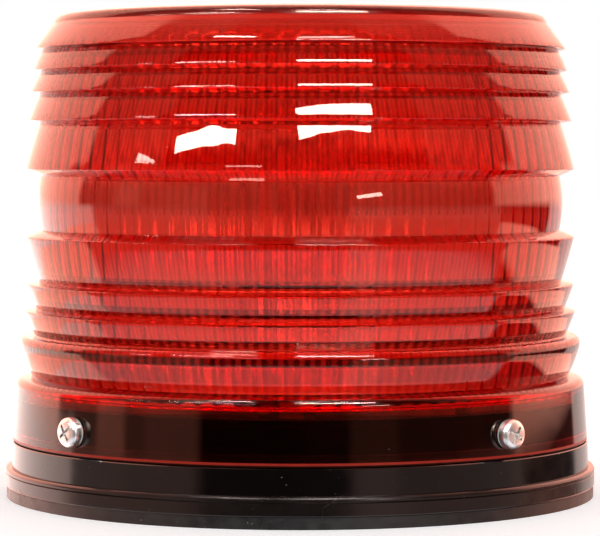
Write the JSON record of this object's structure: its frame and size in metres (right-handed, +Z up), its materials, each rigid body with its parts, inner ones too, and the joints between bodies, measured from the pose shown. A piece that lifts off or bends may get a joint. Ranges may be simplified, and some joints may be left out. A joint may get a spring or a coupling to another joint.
{
  "type": "strobe beacon",
  "caption": "Round warning strobe beacon with a see-through red ring lens, a black base for three bolts, and a plug-in flash tube under a glass dome",
  "frame": {"origin": "centre of the underside", "axes": "+Z up along the axis of the lens, front towards -Y between two of the four lens screws"},
  "size_m": [0.1504, 0.1504, 0.1226],
  "materials": {
    "base_plastic": "glossy black moulding with fine turned lines",
    "rubber": "matt",
    "lens_red": "see-through red, polished",
    "screw_plate": "bright plated",
    "brass": "turned",
    "nylon": "natural nylon",
    "board": "green solder mask",
    "ferrite": "ground grey ferrite",
    "black_moulding": "moulded",
    "tape": "yellow polyester tape",
    "capacitor_sleeve": "shrunk dark blue sleeve",
    "aluminium": "bright",
    "white_paint": "white stove enamel",
    "lacquer": "lacquered winding",
    "orange_box": "moulded case",
    "blue_box": "moulded case",
    "resistor_body": "coated body",
    "terminal_green": "moulded",
    "lead_sleeve": "insulated wire",
    "clear_glass": "clear"
  },
  "bodies": {
    "beacon": {"base_housing": "base_plastic", "mounting_gasket": "rubber", "mount_inserts": "brass", "cable_grommet": "rubber", "vent_plug": "rubber", "lens": "lens_red", "lens_gasket": "rubber", "screw_inserts": "brass", "circuit_board": "board", "board_screws": "screw_plate", "transformer_core": "ferrite", "transformer_bobbin": "black_moulding", "transformer_winding": "tape", "storage_capacitor_1": "capacitor_sleeve", "storage_capacitor_2": "capacitor_sleeve", "heat_sink": "aluminium", "power_transistor": "black_moulding", "transistor_screw": "screw_plate", "trigger_coil": "lacquer", "trigger_capacitor": "orange_box", "trigger_thyristor": "black_moulding", "timer_chip": "black_moulding", "resistors": "resistor_body", "diodes": "black_moulding", "film_capacitors": "blue_box", "terminal_block": "terminal_green", "terminal_screws": "screw_plate", "fuse": "clear_glass", "fuse_clips": "brass", "plate_standoffs": "brass", "reflector_plate": "white_paint", "plate_screws": "screw_plate", "tube_socket": "black_moulding", "socket_contacts": "brass", "socket_screws": "screw_plate", "socket_leads": "lead_sleeve"},
    "washer_1": {"screw_washer_1": "nylon"},
    "washer_2": {"screw_washer_2": "nylon"},
    "washer_3": {"screw_washer_3": "nylon"},
    "washer_4": {"screw_washer_4": "nylon"},
    "screw_1": {"lens_screw_1": "screw_plate"},
    "screw_2": {"lens_screw_2": "screw_plate"},
    "screw_3": {"lens_screw_3": "screw_plate"},
    "screw_4": {"lens_screw_4": "screw_plate"},
    "flash_lamp": {"tube_plug": "black_moulding", "plug_pins": "brass", "flash_tube": "clear_glass", "tube_end_caps": "screw_plate", "trigger_wire": "screw_plate", "glass_dome": "clear_glass"}
  },
  "joints": [
    {"name": "lens_screw_1_out", "type": "slide", "parent": "beacon", "child": "washer_1", "axis": [-0.7071, -0.7071, 0], "range_m": [0, 0.0098]},
    {"name": "lens_screw_1_turn", "type": "hinge", "parent": "washer_1", "child": "screw_1", "pos_m": [-0.05222, -0.05222, 0.0202], "axis": [-0.7071, -0.7071, 0], "range_deg": [0, 5041]},
    {"name": "lens_screw_2_out", "type": "slide", "parent": "beacon", "child": "washer_2", "axis": [0.7071, -0.7071, 0], "range_m": [0, 0.0098]},
    {"name": "lens_screw_2_turn", "type": "hinge", "parent": "washer_2", "child": "screw_2", "pos_m": [0.05222, -0.05222, 0.0202], "axis": [0.7071, -0.7071, 0], "range_deg": [0, 5041]},
    {"name": "lens_screw_3_out", "type": "slide", "parent": "beacon", "child": "washer_3", "axis": [0.7071, 0.7071, 0], "range_m": [0, 0.0098]},
    {"name": "lens_screw_3_turn", "type": "hinge", "parent": "washer_3", "child": "screw_3", "pos_m": [0.05222, 0.05222, 0.0202], "axis": [0.7071, 0.7071, 0], "range_deg": [0, 5041]},
    {"name": "lens_screw_4_out", "type": "slide", "parent": "beacon", "child": "washer_4", "axis": [-0.7071, 0.7071, 0], "range_m": [0, 0.0098]},
    {"name": "lens_screw_4_turn", "type": "hinge", "parent": "washer_4", "child": "screw_4", "pos_m": [-0.05222, 0.05222, 0.0202], "axis": [-0.7071, 0.7071, 0], "range_deg": [0, 5041]},
    {"name": "flash_lamp_pull", "type": "slide", "parent": "beacon", "child": "flash_lamp", "axis": [0, 0, 1], "range_m": [0, 0.01]}
  ],
  "couplings": [
    {"joint": "lens_screw_1_turn", "follows": "lens_screw_1_out", "rad_per_m": 8976},
    {"joint": "lens_screw_2_turn", "follows": "lens_screw_2_out", "rad_per_m": 8976},
    {"joint": "lens_screw_3_turn", "follows": "lens_screw_3_out", "rad_per_m": 8976},
    {"joint": "lens_screw_4_turn", "follows": "lens_screw_4_out", "rad_per_m": 8976}
  ]
}
